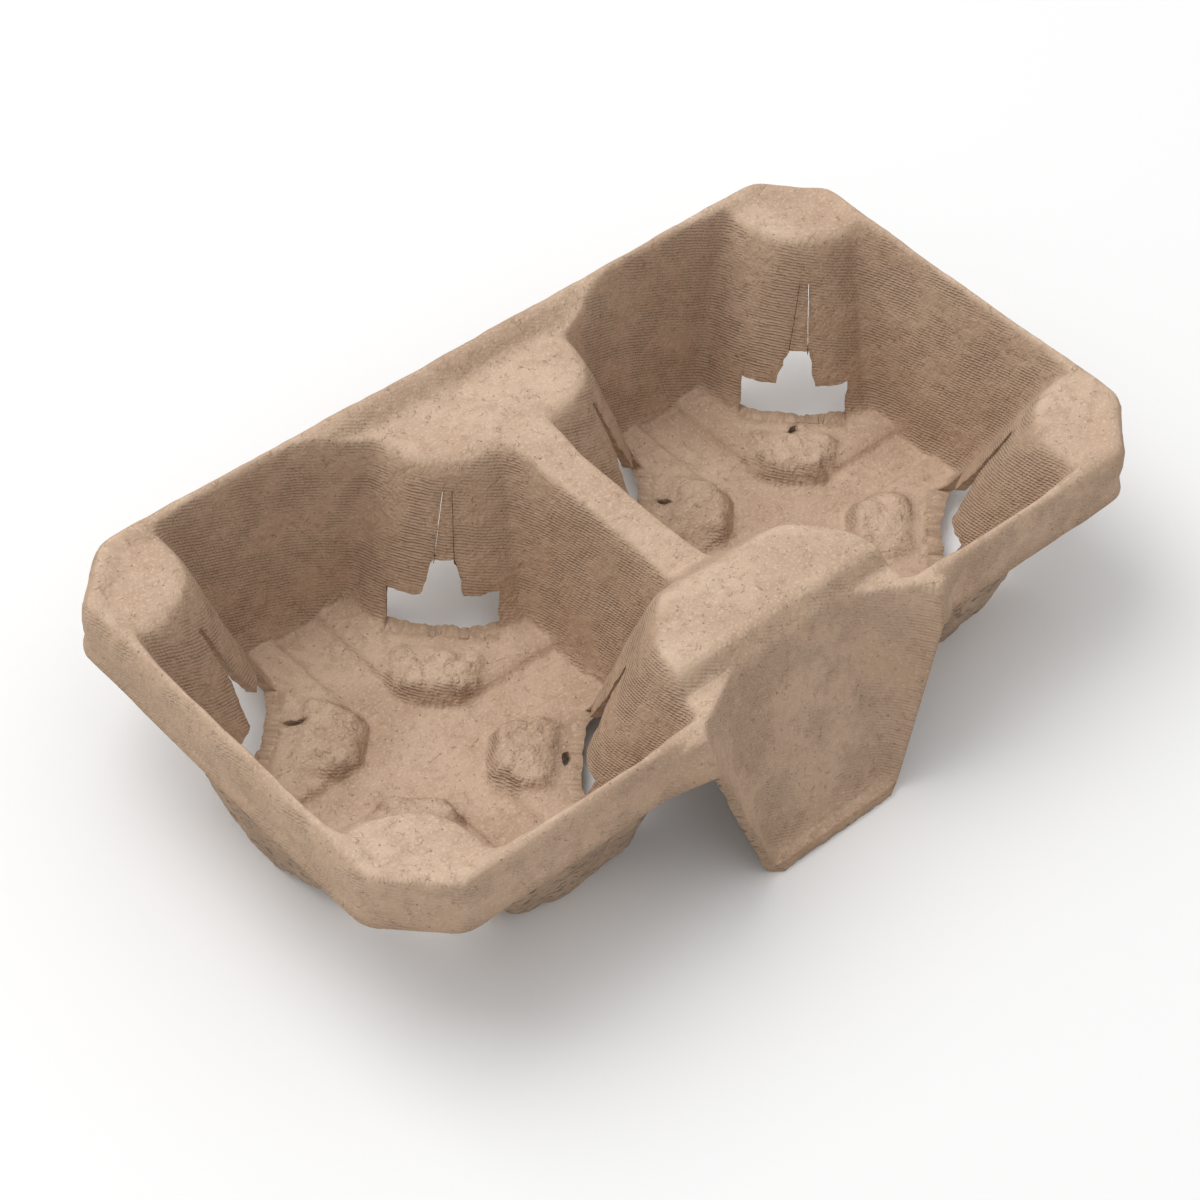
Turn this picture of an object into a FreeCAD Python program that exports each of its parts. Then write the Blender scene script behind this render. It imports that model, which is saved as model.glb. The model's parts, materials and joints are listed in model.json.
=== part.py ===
"""Two-cup drink carrier tray of moulded paper pulp, as a parametric FreeCAD document.

The tray is one pressed sheet of pulp. It is divided here along the folds, slits and edges
that the mould gives it: two cross-shaped cup pockets, the rim with its turned-down skirt,
the bridge between the pockets, and the sloped panel at the front. Each pocket corner has a
T-shaped die cut and a slit above it, which free two small flaps that bend outwards on their
living hinges as a cup is pushed in.

Frame: X runs along the tray, the sloped panel faces -Y, Z is up from the table, and the
origin is at the middle of the tray's box, on the table. Millimetres.
"""
import FreeCAD, Part
import math
import os
import re

SIZES = {
    "crest": 46,                # rim crest above the table
    "wall": 2,                  # pulp thickness, measured level
    "pitch": 108,               # between the two pocket centres
    "end_foot": 41,             # pocket centre to its end walls, at the floor
    "end_top": 49,              # and at the crest
    "side_foot": 46,            # pocket centre to its front and back walls, at the floor
    "side_top": 55.5,           # and at the crest
    "long_arm_foot": 14,        # half width of the arm that runs along X
    "long_arm_top": 33.5,
    "cross_arm_foot": 14,       # half width of the arm that runs along Y
    "cross_arm_top": 28.5,
    "corner_foot": 46,          # x + y on a pilaster's face, at the floor
    "corner_top": 71,           # and at the crest
    "rim_land": 4,              # rim crest outside the pocket openings
    "rim_chamfer": 13.5,        # cut off the tray's corners, each way
    "skirt_depth": 13,          # turned-down edge, below the crest
    "skirt_flare": 1,           # the skirt's lower edge stands out by this
    "bridge_drop": 5,           # saddle and back platform below the crest
    "platform_rise": 4.5,       # front platform above the crest
    "back_slope_run": 6,        # from the back platform up to the rim
    "saddle_back": 24,          # saddle's end towards the back
    "saddle_front": 20,         # saddle's end towards the front
    "ramp_run": 11,             # from the saddle up to the front platform
    "fold_reach": 47,           # tray middle to the fold above the front panel
    "panel_overhang": 12,       # panel's foot beyond the front rim
    "panel_foot_lip": 4,        # lip turned out along the panel's foot
    "panel_foot_half": 16.2,    # half length of that lip
    "panel_gap": 0.3,           # panel edge to the pocket walls beside it
    "table_gap": 0.5,           # panel's foot above the table
    "notch_lip_half": 32,       # half width of the gap in the front skirt, at its lower edge
    "notch_crest_half": 35.7,   # and at the crest
    "bar_half": 12.5,           # half width of a die cut's bar
    "bar_top": 12,              # top of the bar above the table
    "stem_foot_half": 4.75,     # half width of the stem above the bar
    "stem_top_half": 2.4,
    "stem_top": 20,
    "slit_half": 0.75,
    "slit_top": 36,
    "flap_margin": 3,           # from the bar's end in to the foot of the flap's hinge
    "hinge_gap": 0.3,
    "bump_rise": 4,             # raised pads on the pocket floor
    "bump_near": 17,            # pocket centre to a pad, and the pad's far side
    "bump_far": 30.5,
    "bump_half": 11,
    "bump_draft": 3,            # each side of a pad leans in by this
}

ALIAS = re.compile(r"[a-z]+(?:_[a-z]+)*")
TRAY_Y = "((panel_overhang - skirt_flare) / 2)"
TRAY_HALF_X = "(pitch / 2 + end_top + rim_land)"
TRAY_HALF_Y = "(side_top + rim_land)"
PEAK = "(crest + platform_rise)"
ABOVE = "(crest + platform_rise + 10)"
# A slit stops under the bridge, which sinks into the tops of the inner back corners.
SLIT_END = "min(slit_top; crest - bridge_drop - 2 * wall)"
BRIDGE = "(crest - bridge_drop)"
PANEL_Y = "(side_top + rim_land + panel_overhang)"
FOLD_HALF = "(pitch / 2 - cross_arm_top - wall - panel_gap)"
THROUGH = 30                    # die cutters run this far each side of a pilaster's foot

doc = FreeCAD.newDocument("drink_tray")
nodes = {}


def fill_sheet():
    sheet = doc.addObject("Spreadsheet::Sheet", "Sizes")
    for row, (alias, value) in enumerate(SIZES.items(), start=1):
        sheet.set(f"A{row}", alias.replace("_", " "))
        sheet.set(f"B{row}", str(value))
        sheet.setAlias(f"B{row}", alias)
    doc.recompute()


def sized(text):
    """An expression's text, with each size in it pointed at the sheet."""
    return ALIAS.sub(lambda word: "Sizes." + word[0] if word[0] in SIZES else word[0], text)


def minus(text):
    return f"-({text})"


def span(sign, near, far):
    """The low and high ends of a stretch on one side of a centre line."""
    return (near, far) if sign > 0 else (minus(far), minus(near))


def both(half):
    return minus(half), half


def drafted(foot, top, level):
    """A pocket's measure at a level, on the straight draft from its floor to the crest."""
    return f"({foot} + ({top} - {foot}) * ({level} - wall) / (crest - wall))"


def bind(piece, sizes):
    for name, text in sizes.items():
        piece.setExpression(name, sized(text))


def block(name, levels, base, top=None, centre=("0", TRAY_Y), turn=0):
    """A straight-sided block between two levels.

    base and top are its (x low, x high, y low, y high) about the centre, before it is
    turned about the upright axis there.
    """
    top = top or base
    piece = doc.addObject("Part::Wedge", name)
    upright = FreeCAD.Rotation(FreeCAD.Vector(0, 0, 1), turn)
    lying = FreeCAD.Rotation(FreeCAD.Vector(1, 0, 0), 90)
    piece.Placement = FreeCAD.Placement(FreeCAD.Vector(), upright.multiply(lying))
    bind(piece, {"Placement.Base.x": centre[0], "Placement.Base.y": centre[1],
                 "Ymin": levels[0], "Ymax": levels[1],
                 "Xmin": base[0], "Xmax": base[1], "Zmin": minus(base[3]), "Zmax": minus(base[2]),
                 "X2min": top[0], "X2max": top[1], "Z2min": minus(top[3]), "Z2max": minus(top[2])})
    return piece


def run(name, start, end, half, up_to=None):
    """A sloping slab across the bridge, between two (y, z) stations of its upper face.

    With up_to it is instead everything from that face up to a level.
    """
    piece = doc.addObject("Part::Wedge", name)
    low, high = sorted((start, end), key=lambda station: station[2])
    bind(piece, {"Placement.Base.y": TRAY_Y, "Ymin": low[0], "Ymax": high[0],
                 "Xmin": minus(half), "Xmax": half, "X2min": minus(half), "X2max": half,
                 "Zmin": low[1] if up_to else f"{low[1]} - wall", "Zmax": up_to or low[1],
                 "Z2min": high[1] if up_to else f"{high[1]} - wall", "Z2max": up_to or high[1]})
    return piece


def fuse(name, pieces):
    joined = doc.addObject("Part::MultiFuse", name)
    joined.Shapes = pieces
    joined.Refine = True
    return joined


def common(name, pieces):
    shared = doc.addObject("Part::MultiCommon", name)
    shared.Shapes = pieces
    return shared


def cut(name, base, tool):
    rest = doc.addObject("Part::Cut", name)
    rest.Base = base
    rest.Tool = tool
    return rest


def node(piece, label):
    """Makes a finished piece one of the tray's named regions."""
    piece.Label = label
    nodes[label] = piece
    return piece


def cross(name, levels, centre, grow):
    """A solid cross with bevelled inner corners: a pocket's outline between two levels."""
    def at(level):
        return {key: f"({drafted(key + '_foot', key + '_top', level)} + {grow})"
                for key in ("end", "side", "long_arm", "cross_arm")}

    low, high = at(levels[0]), at(levels[1])

    def square(part, x_key, y_key):
        return block(f"{name}_{part}", levels, both(low[x_key]) + both(low[y_key]),
                     both(high[x_key]) + both(high[y_key]), centre)

    bevels = [f"({drafted('corner_foot', 'corner_top', level)} / sqrt(2) + {grow})"
              for level in levels]
    core = common(f"{name}_core", [
        square("bounds", "end", "side"),
        block(f"{name}_bevels", levels, both(bevels[0]) * 2, both(bevels[1]) * 2, centre, 45)])
    return fuse(name, [square("long_arm", "end", "long_arm"),
                       square("cross_arm", "cross_arm", "side"), core])


def pocket_floor(pocket, centre):
    """The flat floor, with a raised pad in front of each die cut."""
    flat = cross(f"{pocket}_floor_outline", ("0", "wall"), centre, "wall")
    base = ("bump_near", "bump_far") + both("bump_half")
    top = ("bump_near + bump_draft", "bump_far - bump_draft") + both("bump_half - bump_draft")
    pads = [block(f"{pocket}_pad_{quarter}", ("wall", "wall + bump_rise"), base, top, centre,
                  45 + 90 * quarter) for quarter in range(4)]
    node(fuse(f"{pocket}_floor_with_pads", [flat] + pads), f"{pocket}_cup_floor")


def middle_wall(name, centre, sign, along_x, top_level):
    """One of the four flat walls at the ends of a pocket's arms."""
    reach, arm = ("end", "long_arm") if along_x else ("side", "cross_arm")
    faces = []
    for level in ("wall", top_level):
        away = drafted(f"{reach}_foot", f"{reach}_top", level)
        across = both(drafted(f"{arm}_foot", f"{arm}_top", level))
        outwards = span(sign, away, f"{away} + wall")
        faces.append(outwards + across if along_x else across + outwards)
    return block(name, ("wall", top_level), faces[0], faces[1], centre)


def cheeks(name, centre, side_x, side_y, top_level):
    """The two flat walls that lead from a pilaster's face out to the ends of the arms."""
    long_faces, cross_faces = [], []
    for level in ("wall", top_level):
        end, side, long_arm, cross_arm, corner = (
            drafted(f"{key}_foot", f"{key}_top", level)
            for key in ("end", "side", "long_arm", "cross_arm", "corner"))
        long_faces.append(span(side_x, f"{corner} - {long_arm}", f"{end} + wall")
                          + span(side_y, long_arm, f"{long_arm} + wall"))
        cross_faces.append(span(side_x, cross_arm, f"{cross_arm} + wall")
                           + span(side_y, f"{corner} - {cross_arm}", f"{side} + wall"))
    levels = ("wall", top_level)
    return [block(f"{name}_long_cheek", levels, long_faces[0], long_faces[1], centre),
            block(f"{name}_cross_cheek", levels, cross_faces[0], cross_faces[1], centre)]


def pilaster_face(name, centre, side_x, side_y, top_level, turn):
    """The face that bevels a pocket's corner, set in the frame turned to look out of it."""
    hand = side_x * side_y
    faces = []
    for level in ("wall", top_level):
        corner, long_arm, cross_arm = (drafted(f"{key}_foot", f"{key}_top", level)
                                       for key in ("corner", "long_arm", "cross_arm"))
        to_long = f"({corner} - 2 * {long_arm}) / sqrt(2)"
        to_cross = f"({corner} - 2 * {cross_arm}) / sqrt(2)"
        across = (minus(to_long), to_cross) if hand > 0 else (minus(to_cross), to_long)
        faces.append((f"{corner} / sqrt(2)", f"{corner} / sqrt(2) + wall") + across)
    return block(name, ("wall", top_level), faces[0], faces[1], centre, turn)


def die_cut(name, centre, turn):
    """The T-shaped opening at the foot of a pilaster and the slit that runs up from it."""
    depth = (f"corner_foot / sqrt(2) - {THROUGH}", f"corner_foot / sqrt(2) + {THROUGH}")

    def cutter(part, levels, low_half, high_half):
        return block(f"{name}_{part}", levels, depth + both(low_half), depth + both(high_half),
                     centre, turn)

    return fuse(name, [cutter("bar", ("wall", "bar_top"), "bar_half", "bar_half"),
                       cutter("stem", ("bar_top", "stem_top"), "stem_foot_half", "stem_top_half"),
                       cutter("slit", ("stem_top", SLIT_END), "slit_half", "slit_half")])


def flap_outline(name, centre, turn, hand, gap, top_level):
    """The triangle between the slit and a flap's hinge, which slants from slit top to bar."""
    depth = (f"corner_foot / sqrt(2) - {THROUGH}", f"corner_foot / sqrt(2) + {THROUGH}")
    foot = span(hand, "0", f"bar_half - flap_margin + {gap}")
    tip = span(hand, "0", f"slit_half + {gap} + hinge_gap")
    return block(name, ("bar_top", top_level), depth + foot, depth + tip, centre, turn)


def corner(pocket, where, centre, side_x, side_y, top_level, relief):
    """A pocket corner: its fixed pilaster and the two flaps that its die cut frees."""
    turn = math.degrees(math.atan2(side_y, side_x))
    name = f"{pocket}_{where}"
    opening = die_cut(f"{name}_die_cut", centre, turn)
    face = pilaster_face(f"{name}_face", centre, side_x, side_y, top_level, turn)
    sheet = fuse(f"{name}_sheet", [face] + cheeks(name, centre, side_x, side_y, top_level))
    gone = [opening] + [flap_outline(f"{name}_window_{number}", centre, turn, hand, "hinge_gap",
                                     SLIT_END) for number, hand in ((1, 1), (2, -1))]
    fixed = cut(f"{name}_pilaster_shape", sheet, fuse(f"{name}_gone", gone))
    if relief:
        fixed = cut(f"{name}_trimmed", fixed, relief)
    node(fixed, f"{name}_pilaster")
    for letter, hand in (("a", 1), ("b", -1)):
        outline = flap_outline(f"{name}_flap_outline_{letter}", centre, turn, hand, "0",
                               f"{SLIT_END} - 2 * hinge_gap")
        sheet_part = common(f"{name}_flap_sheet_{letter}", [face, outline])
        node(cut(f"{name}_flap_shape_{letter}", sheet_part, opening), f"{name}_flap_{letter}")


def pocket(name, side, relief):
    """One cup pocket. side is -1 for the left one; its inner walls rise to the bridge."""
    centre = (f"{side} * pitch / 2", TRAY_Y)
    pocket_floor(name, centre)
    node(middle_wall(f"{name}_end", centre, side, True, "crest"), f"{name}_end_wall")
    inner = middle_wall(f"{name}_inner", centre, -side, True, PEAK)
    node(cut(f"{name}_inner_trimmed", inner, relief), f"{name}_inner_wall")
    for where, sign in (("back", 1), ("front", -1)):
        node(middle_wall(f"{name}_{where}", centre, sign, False, "crest"), f"{name}_{where}_wall")
        corner(name, f"{where}_outer", centre, side, sign, "crest", None)
        inner_top = "crest" if where == "back" else PEAK
        corner(name, f"{where}_inner", centre, -side, sign, inner_top, relief)


def bridge_stations():
    """The bridge's profile, from the back rim to the fold, as (y, z, order along y)."""
    saddle_end = "-saddle_front"
    return [("side_top + wall", "crest", 5),
            ("side_top + wall - back_slope_run", BRIDGE, 4),
            ("saddle_back", BRIDGE, 3),
            (saddle_end, BRIDGE, 2),
            (f"{saddle_end} - ramp_run", PEAK, 1),
            ("-fold_reach", PEAK, 0)]


def bridge_relief():
    """Everything above the bridge, which trims the walls that rise to it."""
    stations = bridge_stations()
    half = "(pitch / 2 - cross_arm_top)"
    air = [run(f"air_{number}", pair[0], pair[1], half, ABOVE)
           for number, pair in enumerate(zip(stations, stations[1:]))]
    fold = ("-fold_reach", "crest", 0)
    rim = (minus(TRAY_HALF_Y), "crest", -1)
    return fuse("bridge_air", air + [run("air_front", fold, rim, half, ABOVE)])


def bridge(moulds):
    stations = bridge_stations()
    labels = ("back_slope", "back_platform", "saddle", "front_ramp", "front_platform")
    for label, start, end in zip(labels, stations, stations[1:]):
        slab = run(f"{label}_slab", start, end, "(pitch / 2 - cross_arm_top)")
        node(cut(f"{label}_shape", slab, moulds), label)


def chamfered(name, levels, inset, inset_top):
    """A block with the tray's outline and its bevelled corners, less an inset."""
    reach = [f"({TRAY_HALF_X} - {value})" for value in (inset, inset_top)]
    width = [f"({TRAY_HALF_Y} - {value})" for value in (inset, inset_top)]
    bevel = [f"(({TRAY_HALF_X} + {TRAY_HALF_Y} - rim_chamfer) / sqrt(2) - {value})"
             for value in (inset, inset_top)]
    return common(name, [
        block(f"{name}_sides", levels, both(reach[0]) + both(width[0]),
              both(reach[1]) + both(width[1])),
        block(f"{name}_bevels", levels, both(bevel[0]) * 2, both(bevel[1]) * 2, turn=45)])


def rim(moulds):
    """The flat rim and its skirt, divided at the pocket corners and the front gap."""
    lip = "(crest - skirt_depth)"
    outside = chamfered("rim_outside", (lip, "crest"), minus("skirt_flare"), "0")
    inside = chamfered("rim_inside", (lip, "crest - wall"), "(wall - skirt_flare)", "wall")
    bay = block("bridge_bay", ("0", ABOVE), both("(pitch / 2 - cross_arm_top)")
                + both("(side_top + wall)"))
    beyond = minus(f"{TRAY_HALF_Y} + 2 * rim_chamfer")
    gap = block("front_gap", (lip, "crest"), both("notch_lip_half") + (beyond, "-(side_top + wall)"),
                both("notch_crest_half") + (beyond, "-(side_top + wall)"))
    pan = cut("rim_pan", outside, fuse("rim_removed", [inside, moulds, bay, gap]))

    levels = (lip, "crest")
    far = f"({TRAY_HALF_X} + 2 * rim_chamfer)"
    turn_x = "(pitch / 2 + cross_arm_top + wall)"
    turn_y = "(long_arm_top + wall)"

    def piece(label, x_range, y_range):
        region = block(f"{label}_region", levels, x_range + y_range)
        node(common(f"{label}_shape", [pan, region]), label)

    for side, sign in (("left", -1), ("right", 1)):
        piece(f"{side}_rim", span(sign, "pitch / 2", far), both(turn_y))
        piece(f"back_{side}_gusset", span(sign, turn_x, far), span(1, turn_y, far))
        piece(f"front_{side}_gusset", span(sign, turn_x, far), span(-1, turn_y, far))
        piece(f"front_{side}_rim", span(sign, "0", turn_x), span(-1, turn_y, far))
    piece("back_rim", both(turn_x), span(1, turn_y, far))


def panel_wing(label, sign, moulds):
    """A narrow wing along the panel's edge, brought forward to the end of the front skirt."""
    base = span(sign, "panel_foot_half - wall", "panel_foot_half") + (
        minus(PANEL_Y), minus(f"({PANEL_Y} - panel_foot_lip)"))
    top = span(sign, "notch_lip_half - wall", "notch_lip_half") + (
        minus(f"({TRAY_HALF_Y} + panel_foot_lip)"), "-(side_top + wall)")
    levels = ("table_gap + wall", "crest - skirt_depth / 2")
    node(cut(f"{label}_shape", block(f"{label}_block", levels, base, top), moulds), label)


def front_panel(moulds):
    """The panel that slopes from the fold to its foot, just clear of the table."""
    foot_face = f"({PANEL_Y} - panel_foot_lip)"
    base = both("panel_foot_half - wall") + (minus(f"({foot_face} + wall)"), minus(foot_face))
    top = both(FOLD_HALF) + ("-fold_reach", "-(fold_reach - wall)")
    levels = ("table_gap + wall", f"{PEAK} - wall")
    sheet = block("panel_sheet", levels, base, top)
    node(cut("panel_shape", sheet, moulds), "front_panel")
    node(block("panel_foot_bar", ("table_gap", "table_gap + wall"),
               both("panel_foot_half") + (minus(PANEL_Y), minus(foot_face))), "panel_foot_lip")
    panel_wing("panel_wing_left", -1, moulds)
    panel_wing("panel_wing_right", 1, moulds)


def build():
    fill_sheet()
    relief = bridge_relief()
    pocket("left", -1, relief)
    pocket("right", 1, relief)
    moulds = fuse("pocket_moulds", [
        cross(f"{name}_mould", ("0", ABOVE), (f"{side} * pitch / 2", TRAY_Y), "wall")
        for name, side in (("left", -1), ("right", 1))])
    bridge(moulds)
    rim(moulds)
    front_panel(moulds)
    doc.recompute()


def check():
    """Stops the build if any object failed or any region has no sound solid."""
    failed = [piece.Name for piece in doc.Objects
              if "Invalid" in piece.State or "Error" in piece.State]
    if failed:
        raise RuntimeError(f"failed objects: {failed}")
    for label, piece in nodes.items():
        shape = piece.Shape
        if shape.isNull() or not shape.isValid() or not shape.Solids:
            raise RuntimeError(f"no sound solid in {label}")


build()
check()
os.makedirs("parts", exist_ok=True)
for label, piece in nodes.items():
    piece.Shape.exportStep(f"parts/{label}.step")
    print(f"{label:34s} {len(piece.Shape.Solids)} solid {piece.Shape.Volume:9.1f} mm3")
print(len(nodes), "nodes")
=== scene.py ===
# %% [markdown]
# # A two-cup drink carrier in moulded pulp
# The carrier is one sheet of wet paper fibre, sucked against a wire-screen mould and dried, then
# die-cut in the corners of its two pockets. The cells below shape that sheet, cut it, part the cut
# tongues from it and finish it.

# %% Load the frame
import math

import bmesh
import bpy
import json
import numpy as np
from mathutils import Matrix, Vector, noise
from mathutils.bvhtree import BVHTree

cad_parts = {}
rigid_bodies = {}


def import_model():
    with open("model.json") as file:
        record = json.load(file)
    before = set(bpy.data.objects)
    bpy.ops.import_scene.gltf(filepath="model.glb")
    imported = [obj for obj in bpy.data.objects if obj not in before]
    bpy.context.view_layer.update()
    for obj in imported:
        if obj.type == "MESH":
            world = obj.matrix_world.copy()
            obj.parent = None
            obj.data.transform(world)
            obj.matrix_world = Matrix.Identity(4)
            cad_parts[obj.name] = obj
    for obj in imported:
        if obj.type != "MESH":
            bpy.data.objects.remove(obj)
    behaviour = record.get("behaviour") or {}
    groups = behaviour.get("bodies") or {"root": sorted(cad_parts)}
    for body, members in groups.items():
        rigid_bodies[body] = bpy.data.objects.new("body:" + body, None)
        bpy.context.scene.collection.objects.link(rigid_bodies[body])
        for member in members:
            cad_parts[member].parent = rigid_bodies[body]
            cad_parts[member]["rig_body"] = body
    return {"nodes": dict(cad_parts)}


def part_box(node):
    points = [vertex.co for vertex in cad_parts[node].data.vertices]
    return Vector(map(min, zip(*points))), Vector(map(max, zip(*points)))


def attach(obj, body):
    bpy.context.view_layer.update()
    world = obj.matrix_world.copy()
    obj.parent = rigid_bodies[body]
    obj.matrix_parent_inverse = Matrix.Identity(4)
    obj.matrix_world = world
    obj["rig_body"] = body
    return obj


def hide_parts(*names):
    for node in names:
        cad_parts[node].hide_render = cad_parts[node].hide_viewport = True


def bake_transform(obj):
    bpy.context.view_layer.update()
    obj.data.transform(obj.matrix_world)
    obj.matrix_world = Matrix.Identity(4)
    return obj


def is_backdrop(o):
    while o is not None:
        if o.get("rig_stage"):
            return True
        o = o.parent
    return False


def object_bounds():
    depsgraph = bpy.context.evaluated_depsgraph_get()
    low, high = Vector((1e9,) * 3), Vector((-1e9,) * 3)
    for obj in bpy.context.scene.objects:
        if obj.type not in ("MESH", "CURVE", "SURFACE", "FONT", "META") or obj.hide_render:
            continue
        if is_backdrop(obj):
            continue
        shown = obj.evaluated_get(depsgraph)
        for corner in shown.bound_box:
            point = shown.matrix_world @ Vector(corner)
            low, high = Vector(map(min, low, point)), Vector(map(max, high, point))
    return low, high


for spare in list(bpy.data.objects):
    bpy.data.objects.remove(spare)
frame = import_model()
cad_low, cad_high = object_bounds()
print("frame", len(frame["nodes"]), "nodes", tuple(cad_low), tuple(cad_high))

# %% [markdown]
# ## Sizes
# Lengths here are in millimetres. The centres of the pockets and the outline come from the frame, so
# that the sheet keeps to the same places as the solid model. The wall sizes are the foot and the top
# of each sloping wall, measured from the centre of its pocket.

# %% Sizes
MM = 0.001
floor_low, floor_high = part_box("left_cup_floor")
PITCH_HALF = -(floor_low.x + floor_high.x) / 2 / MM
TRAY_Y = (floor_low.y + floor_high.y) / 2 / MM
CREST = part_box("left_rim")[1].z / MM
WALL = 2.0
FLARE = 1.0
HALF_LENGTH = -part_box("left_rim")[0].x / MM - FLARE
HALF_WIDTH = 59.5
CORNER_SUM = HALF_LENGTH + HALF_WIDTH - 13.5
SKIRT_FOOT = CREST - 13.0
NOTCH_HALF = 33.0
NOTCH_REACH = 6.0
PANEL_FOOT = 11.8
print("pockets at", round(PITCH_HALF, 2), round(TRAY_Y, 2), "crest", round(CREST, 2))

# %% [markdown]
# ## Soft steps
# A pulp sheet has no sharp folds, so every change of level is blended. These are the three blends
# used by the height of the sheet: a step, and the softer of two surfaces where they meet.


# %% Soft steps
def step(value, low, high):
    t = np.clip((value - low) / (high - low), 0, 1)
    return t * t * (3 - 2 * t)


def lower_of(a, b, soft):
    h = np.clip(0.5 + 0.5 * (b - a) / soft, 0, 1)
    return b + (a - b) * h - soft * h * (1 - h)


def higher_of(a, b, soft):
    return -lower_of(-a, -b, soft)


# %% [markdown]
# ## The pocket
# A pocket is a cross: a long arm between the end walls, a short arm between the side walls, and a
# square core whose corners are cut off by the pilasters that grip a cup. Each is a bowl with sloping
# walls, and the pocket is the lowest of the three. The pilasters beside the front platform stand
# further into the pocket than the rest, because the platform above them is wide. The back wall
# leans in towards the bridge and leaves a narrow ledge that fades along the rim.


# %% The pocket
def wall_rise(distance, foot, top):
    return WALL + (distance - foot) * (CREST - WALL) / (top - foot)


NEAR_BRIDGE = (44, 64)
ELSEWHERE = (46, 71)


def pocket_height(x, y):
    px = np.abs(np.abs(x) - PITCH_HALF)
    py = np.abs(y - TRAY_Y)
    near = (np.abs(x) < PITCH_HALF) & (y < TRAY_Y)
    end = wall_rise(px, 41, 49)
    ledge = 4.5 * (1 - step(np.abs(x), 28, 50)) * (y > TRAY_Y)
    side = wall_rise(py, 46 - ledge / 2, 55.5 - ledge)
    long_arm = higher_of(end, wall_rise(py, 14, np.where(near, 24.5, 33.5)), 12)
    short_arm = higher_of(side, wall_rise(px, 14, np.where(near, 24, 28.5)), 12)
    foot = np.where(near, NEAR_BRIDGE[0], ELSEWHERE[0])
    corners = wall_rise(px + py, foot, np.where(near, NEAR_BRIDGE[1], ELSEWHERE[1]))
    core = higher_of(corners, higher_of(end, side, 8), 8)
    bowl = lower_of(lower_of(long_arm, short_arm, 12), core, 17)
    return higher_of(bowl, floor_height(px, py), 5)


# %% [markdown]
# ## The floor of a pocket
# The floor is pressed into four low plateaus around a sunken cross, and each plateau carries a
# wrinkled mound that takes the rim of the cup's base.


# %% The floor of a pocket
def floor_height(px, py):
    plateau = step(px, 4.8, 7.2) * step(py, 4.8, 7.2) * step(px + py, 18, 21.5)
    u = (px + py) / math.sqrt(2)
    v = np.abs(px - py) / math.sqrt(2)
    half = np.interp(u, [14, 24], [6.5, 10.5])
    mound = step(u, 12.5, 17) * (1 - step(u, 24.5, 30)) * (1 - step(v, half - 2.5, half + 1.5))
    return WALL + 2.1 * plateau + 2.3 * mound


# %% [markdown]
# ## The outline
# Seen from above the deck is a rectangle with cut, rounded corners. This gives the distance in from
# the outline and the direction straight out of it.

# %% The outline
ROUND = 7.5
SLANT = math.sqrt(2) - 1
TURN_LOW = (HALF_LENGTH - ROUND, CORNER_SUM - HALF_LENGTH - SLANT * ROUND)
TURN_HIGH = (CORNER_SUM - HALF_WIDTH - SLANT * ROUND, HALF_WIDTH - ROUND)


def outline(x, y):
    ax = np.abs(x)
    ay = np.abs(y - TRAY_Y)
    run = np.subtract(TURN_HIGH, TURN_LOW)
    along = ((ax - TURN_LOW[0]) * run[0] + (ay - TURN_LOW[1]) * run[1]) / (run @ run)
    along = np.clip(along, 0, 1)
    gap_x = ax - TURN_LOW[0] - along * run[0]
    gap_y = ay - TURN_LOW[1] - along * run[1]
    beside = (ay < TURN_LOW[1]) & (ax - TURN_LOW[0] > ay - TURN_HIGH[1])
    ahead = (ax < TURN_HIGH[0]) & ~beside
    gap_y = np.where(beside, 0, gap_y)
    gap_x = np.where(beside, ax - TURN_LOW[0], np.where(ahead, 0, gap_x))
    gap_y = np.where(ahead, ay - TURN_HIGH[1], gap_y)
    out = np.hypot(gap_x, gap_y)
    inside = (gap_x < 0) | (gap_y < 0)
    depth = ROUND - np.where(inside, -out, out)
    out = np.maximum(out, 1e-9)
    return depth, np.sign(x) * gap_x / out, np.sign(y - TRAY_Y) * gap_y / out


# %% [markdown]
# ## The deck
# The deck is what is left between and around the pockets: the rim, the corner gussets, and the bridge
# with its sunken back platform, low saddle, ramp and raised front platform. A thumb goes under the
# front platform, so its front falls away in a panel with a wing on each side.


# %% The deck
def deck_height(x, y):
    ax = np.abs(x)
    along = y - TRAY_Y
    bridge = CREST - 5.5 + step(along, 19, 27) + 4.5 * step(along, 51, 58.5)
    bridge = bridge + 9.6 * (1 - step(along, -32, -19)) - 4.1 * (1 - step(along, -51.5, -46.5))
    front = 1 - step(ax, 29, 33.5)
    back = 1 - step(ax, 25, 47)
    middle = np.where(along < 0, front, back)
    depth = outline(x, y)[0]
    rim = CREST - 1.2 * step(depth, 3.5, 6.5) + 0.25 * step(depth, 0.8, 2) * (1 - step(depth, 2.6, 4))
    deck = bridge * middle + rim * (1 - middle)
    edge = np.clip(2.4 - depth, 0, 2.4)
    drop = 2.4 - np.sqrt(2.4**2 - edge**2)
    plain = np.where(along < -40, step(ax, NOTCH_HALF, 40), 1)
    return deck - drop * plain


def front_height(x, y):
    along = y - TRAY_Y
    ax = np.abs(x)
    panel = CREST - 2 + 2.745 * (along + 52)
    wing = CREST + 1.385 * (ax - 19.1) + 2.744 * (along + 52.8)
    lip = CREST + 3 + 2.09 * (ax - 22.3) + 1.515 * (along + 45)
    return higher_of(higher_of(panel, higher_of(wing, lip, 1.5), 1.2), WALL, 1.5)


def sheet_height(x, y):
    deck = lower_of(deck_height(x, y), front_height(x, y), 2)
    return lower_of(deck, pocket_height(x, y), 4)


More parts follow.
